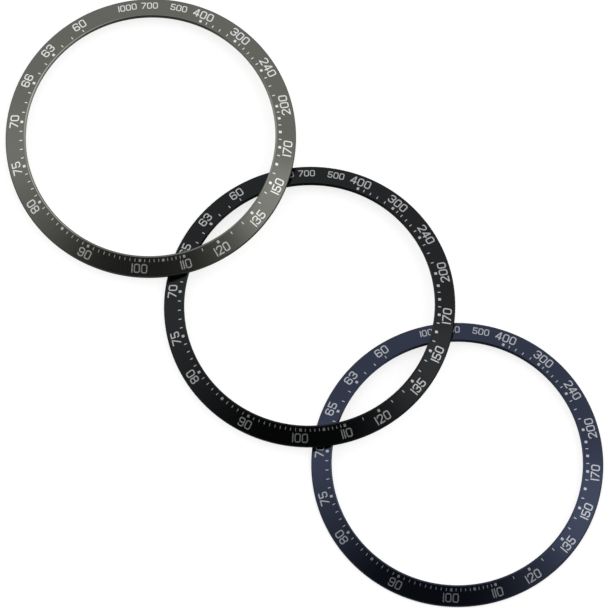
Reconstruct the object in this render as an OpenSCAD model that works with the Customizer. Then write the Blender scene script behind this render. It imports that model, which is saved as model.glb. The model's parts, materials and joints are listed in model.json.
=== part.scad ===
// Three tachymeter inserts for a watch bezel, one grey, one black and one blue, lying in a row.
// Each is a thin conical aluminium ring with a printed scale on top and an adhesive ring beneath.
// The blue one lies flat. The black one leans on the blue one, and the grey one on the black one.

/* [Ring] */
// Diameter of the bore
bore_d = 33.5; // [30:0.1:37]
// Width of the band between the bore and the rim, seen from above
band_w = 2.75; // [2.4:0.05:4]
// How far the band climbs from the rim to the bore
cone_rise = 0.85; // [0.5:0.05:1.4]
// Thickness of the metal, measured upright
metal_t = 0.5; // [0.35:0.05:0.8]
// Bevel on the top edge of the rim
rim_bevel = 0.08; // [0.04:0.01:0.16]
// Width of the bevel on the top edge of the bore, seen from above
bore_bevel = 0.22; // [0.1:0.01:0.3]
// How far that bevel drops towards the bore
bore_drop = 0.15; // [0.04:0.01:0.2]

/* [Marks] */
// Length of every mark, across the band
mark_l = 0.38; // [0.3:0.01:0.5]
// Width of a plain tick
tick_w = 0.12; // [0.08:0.01:0.2]
// Width of a square mark
square_w = 0.34; // [0.25:0.01:0.5]
// Radius of a square mark's corners
square_r = 0.07; // [0.02:0.01:0.12]
// Gap between the marks and the numbers
number_gap = 0.25; // [0.1:0.01:0.35]
// How far marks and numbers together sit outwards of the middle of the band
print_shift = 0.01; // [-0.1:0.01:0.1]
// Thickness of the print
print_t = 0.03; // [0.02:0.005:0.06]

/* [Numbers] */
// Height of a digit
digit_h = 1.18; // [1:0.02:1.4]
// Width of a digit, other than a one
digit_w = 0.83; // [0.7:0.05:1]
// Width of the strokes
stroke_w = 0.16; // [0.12:0.01:0.22]
// Gap between two digits
digit_gap = 0.15; // [0.08:0.01:0.2]
// Outer radius of the digits' round corners
corner_r = 0.3; // [0.25:0.01:0.34]
// Size of the three numbers above 400, against the others
high_size = 0.8; // [0.6:0.05:1]

/* [Adhesive] */
// Thickness of the adhesive ring
tape_t = 0.1; // [0.05:0.01:0.15]
// Gap between the bore's wall and the adhesive ring
tape_inset = 0.25; // [0.1:0.05:0.5]
// How far the adhesive ring stays above what the rim stands on
tape_lift = 0.02; // [0.01:0.01:0.05]

/* [Row] */
// Direction of the row, clockwise from the right as seen from above
row_angle = 47.6; // [0:0.1:90]
// How far the rims of the grey and the black ring overlap
grey_overlap = 7.4; // [4:0.1:12]
// How far the rims of the black and the blue ring overlap
black_overlap = 9.8; // [4:0.1:12]
// Gap left between two rings where one leans on the other
rest_gap = 0.05; // [0.02:0.01:0.1]
// How far the grey, the black and the blue ring are turned anticlockwise
turns = [31.5, 32.1, 33.2]; // [0:0.1:60]
// Number printed at the 66 mark of the grey, the black and the blue ring
labels_at_66 = [66, 65, 65]; // [65:1:66]
// Whether the grey, the black and the blue ring have a tick at 195: 1 if so, 0 if not
ticks_at_195 = [1, 0, 0]; // [0:1:1]

/* [Hidden] */
$fn = 180;
GREY = 0;
BLACK = 1;
BLUE = 2;
FINISHES = ["grey", "black", "blue"];
PIECES = ["ring", "adhesive", "outward_numbers", "inward_numbers", "high_numbers", "ticks", "square_marks"];

metal_colours = [[0.44, 0.44, 0.41], [0.13, 0.14, 0.15], [0.21, 0.24, 0.34]];
print_colour = [0.82, 0.82, 0.81];
tape_colour = [0.9, 0.88, 0.8];

// Radii of the ring and heights of its cone
bore_r = bore_d / 2;
outer_r = bore_r + band_w;
outer_d = 2 * outer_r;
climb = cone_rise / band_w;
function under_z(r) = (outer_r - r) * climb;
function top_z(r) = metal_t + under_z(r);
crest_r = bore_r + bore_bevel;
crest_z = top_z(crest_r);
rim_wall = metal_t - rim_bevel;

// Places of the print across the band
print_w = mark_l + number_gap + digit_h;
mark_r = bore_r + (band_w - print_w) / 2 + print_shift;
number_r = mark_r + mark_l + number_gap + digit_h / 2;
over_print = 2 * print_t + cone_rise + metal_t;

// A tachymeter: a mark stands where the seconds hand is when one event has taken
// an hour's share of its count, so 60 stands at one full turn
hour_s = 3600;
turn_s = 60;
function mark_angle(count) = 360 * (hour_s / count) / turn_s;
// First count, last count and step of each stretch of the scale
stretches = [[400, 300, 20], [300, 200, 10], [200, 110, 5], [110, 60, 1]];
squares = [400, 300, 240, 200, 190, 180, 170, 160, 150, 135, 120, 110, 105, 100, 90, 85, 80, 75, 70, 66, 63];
numbers = [400, 300, 240, 200, 170, 150, 135, 120, 110, 100, 90, 80, 75, 70, 66, 63, 60];
high_numbers = [1000, 700, 500];
function is_square(count) = len(search(count, squares)) > 0;
// The mark whose number differs between the rings, and the tick that not all of them have
relabelled_count = 66;
optional_count = 195;
// Numbers in the lower part of the ring are printed with their tops towards the bore
flip_from = 100;
flip_to = 250;
function reads_inward(count) = mark_angle(count) > flip_from && mark_angle(count) < flip_to;

// Leaning: a ring stands on the surface at the far end of its rim, and the underside of the
// near end lies on the crest of the next ring, at the two points where rim and crest cross
grey_step = outer_d - grey_overlap;
black_step = outer_d - black_overlap;
function crossing(step) = (step * step + outer_r * outer_r - crest_r * crest_r) / (2 * step);
black_lean = atan((crest_z + rest_gap) / (outer_r + crossing(black_step)));
black_crest_z = crest_z * cos(black_lean)
    + (outer_r + crossing(grey_step) - grey_step) * sin(black_lean);
grey_lean = atan((black_crest_z + rest_gap) / (outer_r + crossing(grey_step)));
leans = [grey_lean, black_lean, 0];
// Distance of each ring's standing point along the row, from the blue ring's middle
stands = [for (back = [black_step + grey_step, black_step, 0]) -back - outer_r];

// The origin is under the middle of the whole row's box
row_x = cos(row_angle);
row_y = -sin(row_angle);
function half_span(lean, part) = outer_r * sqrt(1 - pow(sin(lean) * part, 2));
function tip(part) = (stands[GREY] + outer_r * cos(grey_lean) - rim_wall * sin(grey_lean)) * part;
blue_x = -(tip(row_x) - half_span(grey_lean, row_x) + outer_r) / 2;
blue_y = -(tip(row_y) + half_span(grey_lean, row_y) - outer_r) / 2;

// Puts a ring, drawn about its own axis with twelve o'clock at +Y, in its place in the row
module in_row(which) {
    translate([blue_x + stands[which] * row_x, blue_y + stands[which] * row_y, 0])
        rotate([0, 0, -row_angle])
            rotate([0, -leans[which], 0])
                translate([outer_r, 0, 0])
                    rotate([0, 0, row_angle + turns[which]])
                        children();
}

// The conical metal ring, with upright walls at rim and bore
module ring(which) {
    color(metal_colours[which])
        in_row(which)
            rotate_extrude()
                polygon([
                    [bore_r, cone_rise],
                    [outer_r, 0],
                    [outer_r, rim_wall],
                    [outer_r - rim_bevel, top_z(outer_r - rim_bevel)],
                    [crest_r, crest_z],
                    [bore_r, crest_z - bore_drop]
                ]);
}

// The adhesive ring under the cone, which ends where it would touch the surface
module adhesive(which) {
    tape_z = tape_t / cos(atan(climb));
    inner = bore_r + tape_inset;
    outer = outer_r - (tape_z + tape_lift) / climb;
    color(tape_colour)
        in_row(which)
            rotate_extrude()
                polygon([
                    [inner, under_z(inner) - tape_z],
                    [outer, under_z(outer) - tape_z],
                    [outer, under_z(outer)],
                    [inner, under_z(inner)]
                ]);
}

// Keeps what a flat drawing covers of a thin skin on the cone
module printed(which) {
    color(print_colour)
        in_row(which)
            intersection() {
                rotate_extrude()
                    polygon([
                        [crest_r, top_z(crest_r)],
                        [outer_r - rim_bevel, top_z(outer_r - rim_bevel)],
                        [outer_r - rim_bevel, top_z(outer_r - rim_bevel) + print_t],
                        [crest_r, top_z(crest_r) + print_t]
                    ]);
                linear_extrude(over_print) children();
            }
}

// Turns a flat drawing clockwise from twelve o'clock to the place of its count
module at_count(count) {
    rotate(-mark_angle(count)) children();
}

// Radius of a box's round corners, which the box's shorter side limits
roundest_share = 0.49;
function fitting_r(w, h, r) = min(r, roundest_share * min(w, h));

module round_box(w, h, r) {
    translate([r, 0]) square([w - 2 * r, h]);
    translate([0, r]) square([w, h - 2 * r]);
    for (x = [r, w - r], y = [r, h - r]) translate([x, y]) circle(r);
}

// A closed stroke round a box
least_inner_r = 0.02;
module loop(w, h) {
    loop_r = fitting_r(w, h, corner_r);
    inner_r = max(loop_r - stroke_w, least_inner_r);
    difference() {
        round_box(w, h, loop_r);
        translate([stroke_w, stroke_w]) round_box(w - 2 * stroke_w, h - 2 * stroke_w, inner_r);
    }
}

// A straight stroke between two points, cut off at the digit's box, which runs a little
// past its first point, and past its second one by a given length
module slanted(from, to, past) {
    run = to - from;
    intersection() {
        square([digit_w, digit_h]);
        translate(from)
            rotate(atan2(run[1], run[0]))
                translate([-stroke_w, -stroke_w / 2])
                    square([stroke_w + norm(run) + past, stroke_w]);
    }
}

// Height of each loop in 3 and 8, and of the bowl of 5, 6 and 9
half_h = (digit_h + stroke_w) / 2;
bowl_share = 0.6;
bowl_h = bowl_share * digit_h;
// How far an open stroke turns back at its end, with the round corner before it
hook_l = 0.04;
hook_h = corner_r + hook_l;
// Height of the crossbar of 4, and how far the foot of 7 and the stem of 5 stand inwards
bar_share = 0.22;
foot_share = 0.3;
five_inset = stroke_w / 4;

// The top curve of a two runs on for half a quarter turn, and then straight down to the base
module digit_two() {
    curve_r = fitting_r(digit_w, half_h, corner_r);
    curve = [digit_w - curve_r, digit_h - half_h + curve_r];
    run_on = 45;
    difference() {
        translate([0, digit_h - half_h]) loop(digit_w, half_h);
        square([curve[0], digit_h - hook_h]);
        translate(curve) rotate(-90 - run_on) square(digit_w);
    }
    slanted(
        [stroke_w / 2, stroke_w / 2],
        curve + (curve_r - stroke_w / 2) * [cos(run_on), -sin(run_on)],
        stroke_w / 4
    );
    square([digit_w, stroke_w]);
}

module digit_three() {
    difference() {
        union() {
            loop(digit_w, half_h);
            translate([0, digit_h - half_h]) loop(digit_w, half_h);
        }
        translate([0, hook_h]) square([digit_w / 2, digit_h - 2 * hook_h]);
    }
    middle_y = (digit_h - stroke_w) / 2;
    translate([digit_w / 3, middle_y]) square([digit_w / 3, stroke_w]);
}

module digit_four() {
    stem_x = digit_w - 2 * stroke_w;
    bar_y = bar_share * digit_h;
    translate([stem_x, 0]) square([stroke_w, digit_h]);
    translate([0, bar_y]) square([digit_w, stroke_w]);
    slanted([stroke_w / 2, bar_y + stroke_w / 2], [stem_x, digit_h - stroke_w / 2], stroke_w);
}

module digit_five() {
    difference() {
        loop(digit_w, bowl_h);
        translate([0, hook_h]) square([digit_w / 2, bowl_h - stroke_w - hook_h]);
    }
    translate([five_inset, bowl_h - stroke_w]) square([stroke_w, digit_h - bowl_h + stroke_w]);
    translate([five_inset, digit_h - stroke_w]) square([digit_w - 2 * five_inset, stroke_w]);
    translate([five_inset, bowl_h - stroke_w]) square([digit_w / 2, stroke_w]);
}

module digit_six() {
    loop(digit_w, bowl_h);
    difference() {
        loop(digit_w, digit_h);
        translate([stroke_w, 0]) square([digit_w, digit_h - hook_h]);
    }
}

module digit_seven() {
    translate([0, digit_h - stroke_w]) square([digit_w, stroke_w]);
    slanted([foot_share * digit_w, 0], [digit_w - stroke_w / 2, digit_h - stroke_w], stroke_w);
}

module digit_eight() {
    loop(digit_w, half_h);
    translate([0, digit_h - half_h]) loop(digit_w, half_h);
}

// Draws one digit, given as a character, with its lower left corner at the origin
module digit(mark) {
    if (mark == "0") loop(digit_w, digit_h);
    if (mark == "1") square([stroke_w, digit_h]);
    if (mark == "2") digit_two();
    if (mark == "3") digit_three();
    if (mark == "4") digit_four();
    if (mark == "5") digit_five();
    if (mark == "6") digit_six();
    if (mark == "7") digit_seven();
    if (mark == "8") digit_eight();
    if (mark == "9") translate([digit_w, digit_h]) rotate(180) digit_six();
}

function width_of(mark) = mark == "1" ? stroke_w : digit_w;
// Width of the first few digits of a number, each with the gap after it
function width_before(marks, count) =
    count == 0 ? 0 : width_before(marks, count - 1) + width_of(marks[count - 1]) + digit_gap;

// Draws a number with its middle at the origin
module number(value) {
    marks = str(value);
    whole_w = width_before(marks, len(marks)) - digit_gap;
    for (i = [0 : len(marks) - 1])
        translate([width_before(marks, i) - whole_w / 2, -digit_h / 2]) digit(marks[i]);
}

module outward_numbers(which) {
    printed(which)
        for (count = numbers)
            if (!reads_inward(count))
                at_count(count)
                    translate([0, number_r])
                        number(count == relabelled_count ? labels_at_66[which] : count);
}

module inward_numbers(which) {
    printed(which)
        for (count = numbers)
            if (reads_inward(count))
                at_count(count) translate([0, number_r]) rotate(180) number(count);
}

// Numbers too high for marks of their own, in a smaller size
module high_number_row(which) {
    printed(which)
        for (count = high_numbers)
            at_count(count) translate([0, number_r]) scale(high_size) number(count);
}

module ticks(which) {
    printed(which)
        for (s = stretches)
            for (count = [s[0] : -s[2] : s[1]])
                if (!is_square(count) && (count != optional_count || ticks_at_195[which] == 1))
                    at_count(count) translate([-tick_w / 2, mark_r]) square([tick_w, mark_l]);
}

module square_marks(which) {
    printed(which)
        for (count = squares)
            at_count(count) translate([-square_w / 2, mark_r]) round_box(square_w, mark_l, square_r);
}

for (which = [GREY, BLACK, BLUE]) {
    name = FINISHES[which];
    ring(which);
    adhesive(which);
    outward_numbers(which);
    inward_numbers(which);
    high_number_row(which);
    ticks(which);
    square_marks(which);
}
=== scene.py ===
"""Dresses a set of three tachymeter inserts for a watch bezel and sets up a plain studio round it.

The rings are turned anew with rounded edges, and the print and the adhesive film keep their
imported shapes. Sizes are in metres, and every pattern follows its own ring's axis.
"""

import json
import math

import bmesh
import bpy
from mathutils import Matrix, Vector


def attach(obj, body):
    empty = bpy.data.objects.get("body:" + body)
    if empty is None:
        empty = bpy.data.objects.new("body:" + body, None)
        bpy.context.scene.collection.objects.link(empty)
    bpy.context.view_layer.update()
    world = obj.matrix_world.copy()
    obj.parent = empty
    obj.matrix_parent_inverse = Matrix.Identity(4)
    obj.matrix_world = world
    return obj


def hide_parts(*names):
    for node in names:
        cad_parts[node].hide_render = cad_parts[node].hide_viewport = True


bl_info = {
    "name": "Bezel Insert Set",
    "version": (1, 0, 0),
    "blender": (4, 5, 0),
    "location": "View3D > Sidebar > Inserts",
    "description": "Turns, prints and lights three anodised bezel inserts",
    "category": "Object",
}

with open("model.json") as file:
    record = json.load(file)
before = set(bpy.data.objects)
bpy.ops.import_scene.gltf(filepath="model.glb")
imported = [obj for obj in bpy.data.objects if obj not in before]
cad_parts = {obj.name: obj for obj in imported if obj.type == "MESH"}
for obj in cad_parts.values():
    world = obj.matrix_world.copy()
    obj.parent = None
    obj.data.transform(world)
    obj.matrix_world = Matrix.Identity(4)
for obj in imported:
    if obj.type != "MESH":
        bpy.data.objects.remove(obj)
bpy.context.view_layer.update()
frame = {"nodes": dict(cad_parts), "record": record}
mounts = {mount["name"]: mount for mount in frame["record"]["mounts"]}

MM = 0.001
FINISHES = ("grey", "black", "blue")
PRINTS = ("outward_numbers", "inward_numbers", "high_numbers", "ticks", "square_marks")

# How fine each texture is, in patches for each millimetre
CLOUD = 0.35
GRAIN = 45
FLAKE = 60
UNEVEN = 2.5
RIPPLE = 1.6
FIBRE = 14
# How wide the wander of the turned lines is, in patches of their own texture
WANDER = 2
# The darkest and the lightest tone of each stuff, as shares of its own colour
METAL_TONES = (0.96, 1.04)
PRINT_TONES = (0.95, 1.05)
FILM_TONES = (0.93, 1.04)
# What the coarser of two textures has of their common relief
COARSE_SHARE = 0.7

# Where a stretch of the painted highlight along the crest begins and is full, as cosines of the angle off
# its middle
LONG_HIGHLIGHT = (0.7, 0.95)
SHORT_HIGHLIGHT = (0.9, 0.98)
SHORT_HIGHLIGHT_SHARE = 0.9

# Where the dark patch begins and is full, in degrees off its middle: its core and its halo
CORE = (39, 14)
HALO = (56, 30)
CORE_SHARE = 0.75
PATCH_COVER = 0.94
# The thinner cloth below the patch: where its sides begin and are full, in degrees round from
# the front, and where its lower and upper edges do, as heights on a globe of radius 1
LEFT_SIDE = (-60, -42)
RIGHT_SIDE = (55, 30)
LOWER_EDGE = (0.27, 0.42)
UPPER_EDGE = (0.85, 0.7)
BELOW_COVER = 0.6

# Name, direction, half width and half height in degrees, and level of each lamp
LAMPS = (
    ("high_right_lamp", (0.52, 0.02, 0.85), (11, 12), "key"),
    ("high_left_lamp", (-0.545, 0.29, 0.79), (9, 8), "fill"),
    ("low_right_lamp", (0.9, 0.2, 0.36), (22, 14), "sides"),
    ("low_left_lamp", (-0.87, 0.35, 0.33), (20, 14), "sides"),
)


class Seat:
    """Where one ring lies, and the sizes that its rim and bore give it, in metres."""

    def __init__(self, finish):
        rim = mounts[f"{finish}_outer_rim"]
        bore = mounts[f"{finish}_bore"]
        self.axis = Vector(rim["axis"]).normalized()
        self.outer_r = rim["dims"]["r_mm"] * MM
        self.bore_r = bore["dims"]["r_mm"] * MM
        self.rim_wall = rim["dims"]["length_mm"] * MM
        self.bore_wall = bore["dims"]["length_mm"] * MM
        self.origin = Vector(rim["pos_m"]) - self.axis * self.rim_wall / 2
        self.cone_rise = (Vector(bore["pos_m"]) - self.origin).dot(self.axis) - self.bore_wall / 2
        self.turn = Vector((0, 0, 1)).rotation_difference(self.axis)

    def climb(self):
        """How far the cone climbs for each metre towards the bore."""
        return self.cone_rise / (self.outer_r - self.bore_r)

    def place(self, mesh):
        """Puts a bmesh that was drawn about its own axis in the ring's place."""
        bmesh.ops.rotate(mesh, verts=mesh.verts, cent=(0, 0, 0), matrix=self.turn.to_matrix())
        bmesh.ops.translate(mesh, verts=mesh.verts, vec=self.origin)


def length(name, description, default, least=0.0):
    """A size that a user may change, in metres."""
    return bpy.props.FloatProperty(
        name=name,
        description=description,
        default=default,
        min=least,
        precision=6,
        subtype="DISTANCE",
        unit="LENGTH",
    )


def angle(name, description, degrees):
    """An angle that a user may change, given in degrees."""
    return bpy.props.FloatProperty(
        name=name, description=description, default=math.radians(degrees), subtype="ANGLE", unit="ROTATION"
    )


def colour(name, description, default):
    """A colour that a user may change."""
    return bpy.props.FloatVectorProperty(
        name=name, description=description, default=default, min=0, max=1, size=3, subtype="COLOR"
    )


def share(name, description, default, most=1.0):
    """A plain number that a user may change."""
    return bpy.props.FloatProperty(name=name, description=description, default=default, min=0, max=most)


def count(name, description, default, least):
    """A whole number that a user may change."""
    return bpy.props.IntProperty(name=name, description=description, default=default, min=least)


class RingSizes(bpy.types.PropertyGroup):
    """Sizes of a turned ring that its mounts don't give"""

    metal_t: length("Metal", "Upright thickness of the metal", 0.5 * MM)
    bore_bevel: length("Bore Bevel", "Width of the bevel round the bore, from above", 0.22 * MM)
    edge_round: length("Edge Radius", "How far the roundness of an edge reaches", 0.03 * MM)
    facets: count("Facets", "Steps round the ring", 360, 90)
    edge_steps: count("Edge Steps", "Steps across a rounded edge", 4, 1)
    cone_cuts: count("Cone Cuts", "Cuts across the top and the underside of the cone", 11, 0)


class MetalFinish(bpy.types.PropertyGroup):
    """Colours, turning marks, painted edge shade and painted crest highlight of the anodised metal"""

    grey: colour("Grey", "Gunmetal grey anodising", (0.126, 0.128, 0.113))
    black: colour("Black", "Black anodising", (0.0172, 0.0188, 0.0199))
    blue: colour("Blue", "Navy blue anodising", (0.032, 0.039, 0.0645))
    satin: share("Satin", "Roughness of the anodised face", 0.2)
    uneven: share("Unevenness", "How far grain and lines each change the roughness", 0.03)
    wall_rough: share("Cut Roughness", "What the cut edges add to the roughness", 0.3)
    # Painted shade: how dark the upright walls are painted, and how far the rim's bevel takes that painted
    # shade
    wall_shade: share("Cut Edges", "Darkness of the upright cut edges", 0.9)
    bevel_shade: share("Rim Bevel", "How far the rim's bevel is as dark as the cut edges", 0.8)
    grazing: share("Grazing Shine", "What is left of the shine where the metal is seen at a low angle", 0.7)
    # The painted highlight along the crest round the bore: its width, how many times brighter it paints the
    # grey ring, its level outside its two stretches, and the middles of those stretches
    highlight_w: length("Crest Width", "Width of the rubbed line along the crest round the bore", 0.1 * MM)
    highlight_gain: share("Crest Shine", "How many times brighter the grey ring's rubbed crest is", 3.4, 8.0)
    least_highlight: share("Least Wear", "How far the crest is rubbed outside the two worn stretches", 0.2)
    upper_highlight: angle("Upper Wear", "Middle of the long worn stretch, clockwise from the top", 310)
    lower_highlight: angle("Lower Wear", "Middle of the short worn stretch, clockwise from the top", 236)
    line_pitch: length("Turned Lines", "Distance between the fine turned lines", 0.045 * MM)
    line_depth: length("Line Depth", "Depth of the fine turned lines", 0.00012 * MM)


class PrintFinish(bpy.types.PropertyGroup):
    """Colours and flake of the silver ink"""

    on_grey: colour("On Grey", "Silver print on the grey ring", (0.72, 0.72, 0.7))
    on_black: colour("On Black", "Silver print on the black ring", (0.41, 0.415, 0.42))
    on_blue: colour("On Blue", "Silver print on the blue ring", (0.4, 0.415, 0.455))
    satin: share("Satin", "Roughness of the print", 0.31)
    uneven: share("Unevenness", "How far the flake changes the roughness", 0.1)
    metal: share("Metal", "Share of metal flake in the print", 0.94)
    flake_depth: length("Flake Depth", "Depth of the flake's relief", 0.0004 * MM)


class FilmFinish(bpy.types.PropertyGroup):
    """Colour and tack of the adhesive film"""

    film: colour("Film", "Pale adhesive film", (0.74, 0.71, 0.6))
    tack: share("Tack", "Roughness of the tacky face", 0.38)
    uneven: share("Unevenness", "How far the ripple changes the roughness", 0.2)
    wet: share("Wetness", "Weight of the clear, glossy glue on top", 0.3)
    ripple_depth: length("Ripple Depth", "Depth of the ripple", 0.01 * MM)


class Studio(bpy.types.PropertyGroup):
    """The view, the lamps, the dark cloth and the floor"""

    elevation: angle("Camera Elevation", "Height angle of the view", 75.5)
    distance: length("Camera Distance", "Distance of the camera", 2.0)
    view_w: length("View Width", "Width that the picture takes in at the floor", 81.4 * MM)
    aim_x: length("Aim X", "Middle of the view, to the right of the origin", 0.05 * MM, -1)
    aim_y: length("Aim Y", "Middle of the view, behind the origin", -0.25 * MM, -1)
    sky: share("Sky", "Strength of the white surroundings", 1.0, 2.0)
    key: share("Right Lamp", "What the high lamp on the right adds to the surroundings", 0.85, 4.0)
    fill: share("Left Lamp", "What the high lamp on the left adds to the surroundings", 0.35, 4.0)
    sides: share("Side Lamps", "What the low lamps on both sides add to the surroundings", 0.85, 4.0)
    reach: length("Reach", "Distance of the lamps", 1.3)
    cloth_r: length("Cloth Distance", "Distance of the dark cloth, beyond the lamps", 1.43)
    cloth_low: length("Cloth Edge", "Height of the cloth's lower edge", 0.325)
    cloth: share("Cloth", "Albedo of the dark cloth", 0.005)
    patch: bpy.props.FloatVectorProperty(
        name="Dark Patch",
        description="Direction of the middle of the cloth's dark patch, close by the camera",
        default=(-0.12, -0.42, 0.9),
        size=3,
        subtype="DIRECTION",
    )
    stage_facets: count("Stage Facets", "Steps round the floor and the cloth", 96, 12)
    floor_r: length("Floor Radius", "Radius of the floor", 3.0)
    floor: share("Floor", "Albedo of the floor", 0.4)
    glow: share("Floor Glow", "What brings the bare floor up to white in the picture", 0.75)


class Wire:
    """A number's socket in a material, which Python's arithmetic extends with Math nodes."""

    def __init__(self, paint, socket):
        self.paint = paint
        self.socket = socket

    def __add__(self, other):
        return self.paint.maths("ADD", self, other)

    def __radd__(self, other):
        return self.paint.maths("ADD", other, self)

    def __sub__(self, other):
        return self.paint.maths("SUBTRACT", self, other)

    def __rsub__(self, other):
        return self.paint.maths("SUBTRACT", other, self)

    def __mul__(self, other):
        return self.paint.maths("MULTIPLY", self, other)

    def __rmul__(self, other):
        return self.paint.maths("MULTIPLY", other, self)

    def __truediv__(self, other):
        return self.paint.maths("DIVIDE", self, other)

    def __pow__(self, power):
        return self.paint.maths("POWER", self, power)

    def larger(self, other):
        """The larger of two values."""
        return self.paint.maths("MAXIMUM", self, other)

    def clamped(self):
        """The value held between 0 and 1."""
        node = self.paint.node("ShaderNodeClamp", {}, {"Value": self})
        return Wire(self.paint, node.outputs[0])

    def step(self, start, end):
        """0 up to start, 1 from end on and smooth between them; start may be the larger."""
        node = self.paint.node(
            "ShaderNodeMapRange",
            {"interpolation_type": "SMOOTHSTEP"},
            {"Value": self, "From Min": start, "From Max": end},
        )
        return Wire(self.paint, node.outputs[0])

    def turn_step(self, start, end):
        """A step of an angle, between two angles in degrees."""
        return self.step(math.radians(start), math.radians(end))


class Paint:
    """Builds the nodes of one material."""

    def __init__(self, name):
        self.material = bpy.data.materials.new(name)
        self.material.use_nodes = True
        self.tree = self.material.node_tree
        self.tree.nodes.clear()
        self.output = self.node("ShaderNodeOutputMaterial")

    def node(self, kind, settings=None, sockets=None):
        """Adds a node, sets it, and gives its sockets their values or links."""
        node = self.tree.nodes.new(kind)
        for name, value in (settings or {}).items():
            setattr(node, name, value)
        for name, value in (sockets or {}).items():
            self.feed(node.inputs[name], value)
        return node

    def feed(self, socket, value):
        """Links a wire or a socket to a socket, or gives it a value."""
        if isinstance(value, Wire):
            value = value.socket
        if isinstance(value, bpy.types.NodeSocket):
            self.tree.links.new(value, socket)
        elif socket.type == "RGBA" and len(value) == 3:
            socket.default_value = (*value, 1)
        else:
            socket.default_value = value

    def wire(self, node, output=0):
        """One number that a node gives."""
        return Wire(self, node.outputs[output])

    def maths(self, operation, *values):
        """A Math node on the given values."""
        return self.wire(self.node("ShaderNodeMath", {"operation": operation}, dict(enumerate(values))))

    def place(self):
        """Object coordinates."""
        return self.node("ShaderNodeTexCoord").outputs["Object"]

    def on_ring(self, seat):
        """Coordinates in millimetres about a ring's own axis, from Object coordinates."""
        mapping = self.node(
            "ShaderNodeMapping",
            {"vector_type": "TEXTURE"},
            {
                "Vector": self.place(),
                "Location": seat.origin,
                "Rotation": seat.turn.to_euler(),
                "Scale": (MM, MM, MM),
            },
        )
        return mapping.outputs[0]

    def parts(self, vector):
        """The three numbers of a vector."""
        node = self.node("ShaderNodeSeparateXYZ", {}, {"Vector": vector})
        return [Wire(self, socket) for socket in node.outputs]

    def noise(self, vector, scale, detail=2.0):
        """Noise from 0 to 1 about a half."""
        node = self.node("ShaderNodeTexNoise", {}, {"Vector": vector, "Scale": scale, "Detail": detail})
        return self.wire(node)

    def mixed(self, factor, first, second):
        """A colour between two colours."""
        node = self.node(
            "ShaderNodeMix", {"data_type": "RGBA"}, {"Factor": factor, "A": first, "B": second}
        )
        return node.outputs["Result"]

    def mottled(self, factor, base, tones):
        """A colour that strays between its darkest and its lightest tone."""
        darkest, lightest = tones
        return self.mixed(factor, base * darkest, base * lightest)

    def bump(self, height, distance):
        """A normal for a height from 0 to 1 that stands for that distance."""
        node = self.node("ShaderNodeBump", {}, {"Height": height, "Distance": distance})
        return node.outputs[0]

    def surface(self, shader):
        """The finished material, which shows that shader."""
        self.tree.links.new(shader.outputs[0], self.output.inputs["Surface"])
        return self.material


def turned_lines(paint, radius, cloud, pitch):
    """Fine lines round the ring that wander a little with the cloud."""
    across = paint.node("ShaderNodeCombineXYZ", {}, {"X": radius / pitch, "Y": cloud * WANDER})
    return paint.noise(across.outputs[0], 1)


def relief(coarse, fine):
    """One relief of two textures, most of it the coarser one's."""
    return coarse * COARSE_SHARE + fine * (1 - COARSE_SHARE)


def dull_shaded_edges(seat, sizes, look, radius):
    """The mask of the painted shade and the added roughness: 1 on the upright walls at rim and bore, and a
    little less on the rim's bevel.
    """
    outer, bore = seat.outer_r / MM, seat.bore_r / MM
    soft = sizes.edge_round / MM
    walls = radius.step(outer - soft, outer - soft / 4) + radius.step(bore + soft, bore + soft / 4)
    bevel_r = outer - (sizes.metal_t - seat.rim_wall) / MM
    bevel = look.bevel_shade * radius.step(bevel_r - soft, bevel_r + soft)
    return walls.larger(bevel)


def crest_highlight(seat, sizes, look, x, y, radius):
    """A painted highlight: the line along the crest round the bore, brightest over a long and a short
    stretch.
    """
    soft = sizes.edge_round / MM
    inner = (seat.bore_r + sizes.bore_bevel - look.highlight_w / 2) / MM
    outer = inner + look.highlight_w / MM
    line = radius.step(inner - soft, inner + soft) * radius.step(outer + soft, outer - soft)

    def towards(bearing):
        """The cosine of the angle off a bearing, seen from the ring's middle."""
        return (math.cos(bearing) * y + math.sin(bearing) * x) / radius

    long = towards(look.upper_highlight).step(*LONG_HIGHLIGHT)
    short = towards(look.lower_highlight).step(*SHORT_HIGHLIGHT)
    highlighted = long + SHORT_HIGHLIGHT_SHARE * short
    return line * (look.least_highlight + (1 - look.least_highlight) * highlighted)


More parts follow.
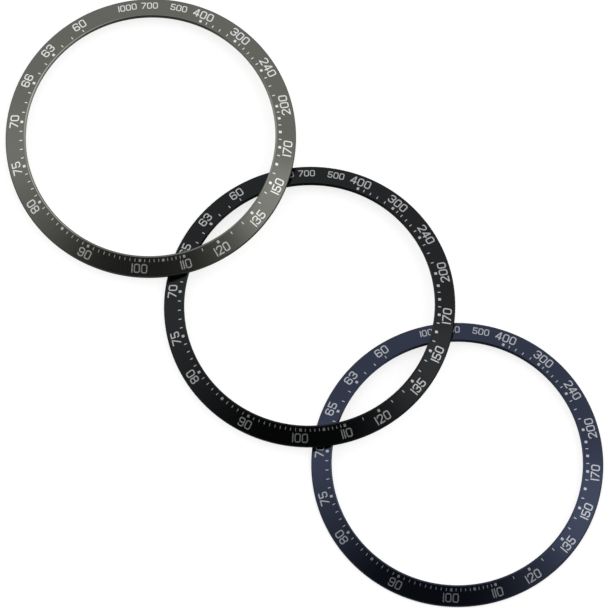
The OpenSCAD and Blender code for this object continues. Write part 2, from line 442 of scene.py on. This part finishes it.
def anodised_metal(finish, seat):
    """Satin anodised aluminium with fine turned lines, rougher cut edges that carry painted shade, and a
    painted highlight along the grey ring's crest.
    """
    look = bpy.context.scene.metal_finish
    sizes = bpy.context.scene.ring_sizes
    paint = Paint(f"{finish}_anodised_aluminium")
    spot = paint.on_ring(seat)
    x, y, _ = paint.parts(spot)
    radius = (x * x + y * y) ** 0.5
    cloud = paint.noise(spot, CLOUD, 3)
    grain = paint.noise(spot, GRAIN)
    lines = turned_lines(paint, radius, cloud, look.line_pitch / MM)
    walls_dull_and_shaded = dull_shaded_edges(seat, sizes, look, radius)
    # Painted highlight along the crest: the grey ring's colour is brightened many times there
    crest = crest_highlight(seat, sizes, look, x, y, radius)
    base = Vector(getattr(look, finish))
    highlight_colour = base * (look.highlight_gain if finish == "grey" else 1)
    # Painted shade: a darker copy of the metal's colour on the walls and the rim's bevel
    dark = base * (1 - look.wall_shade)
    face = paint.mottled(cloud, base, METAL_TONES)
    highlighted = paint.mixed(crest, face, highlight_colour)
    swing = look.uneven * (grain - 0.5) + look.uneven * (lines - 0.5)
    shader = paint.node(
        "ShaderNodeBsdfPrincipled",
        {},
        {
            "Base Color": paint.mixed(walls_dull_and_shaded, highlighted, dark),
            "Metallic": 1.0,
            "Roughness": look.satin + swing + look.wall_rough * walls_dull_and_shaded,
            "Specular Tint": (look.grazing,) * 3,
            "Normal": paint.bump(relief(lines, grain), look.line_depth),
        },
    )
    return paint.surface(shader)


def silver_print(finish, seat):
    """Silver ink: metal flake in a thin, slightly uneven film."""
    look = bpy.context.scene.print_finish
    paint = Paint(f"silver_print_on_{finish}")
    spot = paint.on_ring(seat)
    flake = paint.noise(spot, FLAKE)
    uneven = paint.noise(spot, UNEVEN)
    base = Vector(getattr(look, f"on_{finish}"))
    shader = paint.node(
        "ShaderNodeBsdfPrincipled",
        {},
        {
            "Base Color": paint.mottled(uneven, base, PRINT_TONES),
            "Metallic": look.metal,
            "Roughness": look.satin + look.uneven * (flake - 0.5),
            "Normal": paint.bump(flake, look.flake_depth),
        },
    )
    return paint.surface(shader)


def adhesive_film(finish, seat):
    """Pale adhesive film with the faint ripple of a peeled liner."""
    look = bpy.context.scene.film_finish
    paint = Paint(f"adhesive_film_under_{finish}")
    spot = paint.on_ring(seat)
    ripple = paint.noise(spot, RIPPLE, 3)
    fibre = paint.noise(spot, FIBRE, 3)
    base = Vector(look.film)
    shader = paint.node(
        "ShaderNodeBsdfPrincipled",
        {},
        {
            "Base Color": paint.mottled(fibre, base, FILM_TONES),
            "Roughness": look.tack + look.uneven * (ripple - 0.5),
            "Coat Weight": look.wet,
            "Normal": paint.bump(relief(ripple, fibre), look.ripple_depth),
        },
    )
    return paint.surface(shader)


def turned_ring(seat, sizes):
    """A bmesh of one conical ring: its outline with rounded corners, spun about the axis."""
    crest_r = seat.bore_r + sizes.bore_bevel
    bevel_r = seat.outer_r - (sizes.metal_t - seat.rim_wall)

    def top(r):
        return sizes.metal_t + (seat.outer_r - r) * seat.climb()

    corners = [
        (seat.bore_r, seat.cone_rise),
        (seat.outer_r, 0),
        (seat.outer_r, seat.rim_wall),
        (bevel_r, top(bevel_r)),
        (crest_r, top(crest_r)),
        (seat.bore_r, seat.cone_rise + seat.bore_wall),
    ]
    mesh = bmesh.new()
    verts = [mesh.verts.new((r, 0, z)) for r, z in corners]
    for first, second in zip(verts, verts[1:] + verts[:1]):
        mesh.edges.new((first, second))
    bmesh.ops.bevel(
        mesh,
        geom=mesh.verts[:],
        offset=sizes.edge_round,
        segments=sizes.edge_steps,
        profile=0.5,
        affect="VERTICES",
        material=-1,
    )
    # Only the top and the underside of the cone are wider than the metal is thick
    cone = [edge for edge in mesh.edges if edge.calc_length() > sizes.metal_t]
    bmesh.ops.subdivide_edges(mesh, edges=cone, cuts=sizes.cone_cuts)
    bmesh.ops.spin(
        mesh,
        geom=mesh.verts[:] + mesh.edges[:],
        cent=(0, 0, 0),
        axis=(0, 0, 1),
        dvec=(0, 0, 0),
        angle=math.tau,
        steps=sizes.facets,
        use_merge=True,
    )
    bmesh.ops.recalc_face_normals(mesh, faces=mesh.faces)
    for face in mesh.faces:
        face.smooth = True
    return mesh


def add_piece(name, mesh, material):
    """Adds a finished bmesh as an object at the origin."""
    data = bpy.data.meshes.new(name)
    mesh.to_mesh(data)
    mesh.free()
    data.materials.append(material)
    piece = bpy.data.objects.new(name, data)
    bpy.context.scene.collection.objects.link(piece)
    return piece


def shade_evenly(piece):
    """Lets wide faces rule the shading beside narrow ones, so that flats look flat."""
    weighted = piece.modifiers.new("even_shading", "WEIGHTED_NORMAL")
    weighted.weight = 100


def repaint(node, material):
    """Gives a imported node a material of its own."""
    data = frame["nodes"][node].data
    if not data.materials:
        data.materials.append(material)
    for index in range(len(data.materials)):
        data.materials[index] = material


class INSERTS_OT_rings(bpy.types.Operator):
    """Turn the three conical rings with rounded edges and give them their anodising"""

    bl_idname = "inserts.rings"
    bl_label = "Turned Rings"

    def execute(self, context):
        for finish in FINISHES:
            seat = Seat(finish)
            mesh = turned_ring(seat, context.scene.ring_sizes)
            seat.place(mesh)
            ring = add_piece(f"{finish}_turned_ring", mesh, anodised_metal(finish, seat))
            shade_evenly(ring)
            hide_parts(f"{finish}_ring")
            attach(ring, f"{finish}_insert")
        return {"FINISHED"}


class INSERTS_OT_prints(bpy.types.Operator):
    """Give the numbers, ticks and square marks their silver ink"""

    bl_idname = "inserts.prints"
    bl_label = "Silver Print"

    def execute(self, context):
        for finish in FINISHES:
            ink = silver_print(finish, Seat(finish))
            for kind in PRINTS:
                repaint(f"{finish}_{kind}", ink)
        return {"FINISHED"}


class INSERTS_OT_films(bpy.types.Operator):
    """Give the adhesive rings under the metal their film"""

    bl_idname = "inserts.films"
    bl_label = "Adhesive Film"

    def execute(self, context):
        for finish in FINISHES:
            repaint(f"{finish}_adhesive", adhesive_film(finish, Seat(finish)))
        return {"FINISHED"}


def pale_floor(look):
    """A matt floor that shows white to the eye and in metal, and still holds a shadow."""
    paint = Paint("pale_floor")
    ray = paint.node("ShaderNodeLightPath")
    seen = paint.wire(ray, "Is Camera Ray") + paint.wire(ray, "Is Glossy Ray")
    seen = (seen + paint.wire(ray, "Is Transmission Ray")).clamped()
    matt = paint.node("ShaderNodeBsdfDiffuse", {}, {"Color": (look.floor,) * 3})
    glow = paint.node("ShaderNodeEmission", {}, {"Color": (1, 1, 1), "Strength": seen * look.glow})
    both = paint.node("ShaderNodeAddShader", {}, {0: matt.outputs[0], 1: glow.outputs[0]})
    return paint.surface(both)


def flag_cloth(look):
    """Black cloth with soft edges: a patch round the camera, and a thinner one below it."""
    paint = Paint("flag_cloth")
    out = paint.node("ShaderNodeVectorMath", {"operation": "NORMALIZE"}, {0: paint.place()}).outputs[0]
    x, y, z = paint.parts(out)
    middle = Vector(look.patch).normalized()
    near = paint.node("ShaderNodeVectorMath", {"operation": "DOT_PRODUCT"}, {0: out, 1: middle})
    nearness = paint.wire(near, "Value")
    off = paint.maths("ARCCOSINE", nearness)
    patch = CORE_SHARE * off.turn_step(*CORE) + (1 - CORE_SHARE) * off.turn_step(*HALO)
    around = paint.maths("ARCTAN2", x, 0 - y)
    sides = around.turn_step(*LEFT_SIDE) * around.turn_step(*RIGHT_SIDE)
    below = sides * z.step(*LOWER_EDGE) * z.step(*UPPER_EDGE)
    cover = PATCH_COVER * patch + BELOW_COVER * below * (1 - patch)
    clear = paint.node("ShaderNodeBsdfTransparent")
    cloth = paint.node("ShaderNodeBsdfDiffuse", {}, {"Color": (look.cloth,) * 3})
    mixed = paint.node("ShaderNodeMixShader", {}, {0: cover, 1: clear.outputs[0], 2: cloth.outputs[0]})
    return paint.surface(mixed)


def dark_flag(look):
    """A bmesh of the upper part of a globe round the rings, which holds the dark cloth."""
    flag = bmesh.new()
    steps = look.stage_facets
    bmesh.ops.create_uvsphere(flag, u_segments=steps, v_segments=steps // 2, radius=look.cloth_r)
    bmesh.ops.bisect_plane(
        flag,
        geom=flag.verts[:] + flag.edges[:] + flag.faces[:],
        plane_co=(0, 0, look.cloth_low),
        plane_no=(0, 0, -1),
        clear_outer=True,
    )
    return flag


def aimed(data, direction, reach):
    """Adds a lamp or camera that looks at the origin from a direction."""
    direction = Vector(direction).normalized()
    made = bpy.data.objects.new(data.name, data)
    made.location = direction * reach
    made.rotation_euler = direction.to_track_quat("Z", "Y").to_euler()
    bpy.context.scene.collection.objects.link(made)
    return made


def soft_lamp(name, direction, reach, spans, adds):
    """A rectangular lamp that adds a given level to what a mirror would show of it."""
    data = bpy.data.lights.new(name, "AREA")
    data.shape = "RECTANGLE"
    data.size, data.size_y = (2 * reach * math.tan(math.radians(span)) for span in spans)
    data.energy = adds * math.pi * data.size * data.size_y
    return aimed(data, direction, reach)


def white_surroundings(strength):
    """A plain white world."""
    world = bpy.data.worlds.new("white_surroundings")
    world.use_nodes = True
    background = world.node_tree.nodes["Background"]
    background.inputs["Color"].default_value = (1, 1, 1, 1)
    background.inputs["Strength"].default_value = strength
    world.cycles.sampling_method = "NONE"
    return world


class INSERTS_OT_studio(bpy.types.Operator):
    """Set up the pale floor, the white surroundings, the dark flag, the lamps and the camera"""

    bl_idname = "inserts.studio"
    bl_label = "Studio"

    def execute(self, context):
        scene = context.scene
        look = scene.studio
        floor = bmesh.new()
        bmesh.ops.create_circle(floor, cap_ends=True, segments=look.stage_facets, radius=look.floor_r)
        add_piece("floor", floor, pale_floor(look))

        cloth = add_piece("dark_flag", dark_flag(look), flag_cloth(look))
        cloth.visible_camera = False

        for name, direction, spans, level in LAMPS:
            soft_lamp(name, direction, look.reach, spans, getattr(look, level))
        scene.world = white_surroundings(look.sky)
        scene.view_settings.view_transform = "Standard"

        lens = bpy.data.cameras.new("camera")
        lens.sensor_width = 36
        lens.lens = lens.sensor_width * look.distance / look.view_w
        lens.clip_end = 10
        view = (0, -math.cos(look.elevation), math.sin(look.elevation))
        camera = aimed(lens, view, look.distance)
        camera.location += Vector((look.aim_x, look.aim_y, 0))
        scene.camera = camera
        return {"FINISHED"}


class INSERTS_PT_set(bpy.types.Panel):
    """Lists the steps that dress the inserts"""

    bl_label = "Bezel Insert Set"
    bl_space_type = "VIEW_3D"
    bl_region_type = "UI"
    bl_category = "Inserts"

    def draw(self, context):
        for operator in OPERATORS:
            self.layout.operator(operator.bl_idname)
        for name in GROUPS:
            box = self.layout.box()
            group = getattr(context.scene, name)
            for key in group.__annotations__:
                box.prop(group, key)


GROUPS = {
    "ring_sizes": RingSizes,
    "metal_finish": MetalFinish,
    "print_finish": PrintFinish,
    "film_finish": FilmFinish,
    "studio": Studio,
}
OPERATORS = (INSERTS_OT_rings, INSERTS_OT_prints, INSERTS_OT_films, INSERTS_OT_studio)


def register():
    """Registers the sizes, the steps and the panel."""
    for kind in (*GROUPS.values(), *OPERATORS, INSERTS_PT_set):
        bpy.utils.register_class(kind)
    for name, kind in GROUPS.items():
        setattr(bpy.types.Scene, name, bpy.props.PointerProperty(type=kind))


def unregister():
    """Takes the sizes, the steps and the panel out again."""
    for name in GROUPS:
        delattr(bpy.types.Scene, name)
    for kind in (INSERTS_PT_set, *OPERATORS, *GROUPS.values()):
        bpy.utils.unregister_class(kind)


def main():
    """Runs every step."""
    register()
    bpy.ops.inserts.rings()
    bpy.ops.inserts.prints()
    bpy.ops.inserts.films()
    bpy.ops.inserts.studio()


if __name__ == "__main__":
    main()
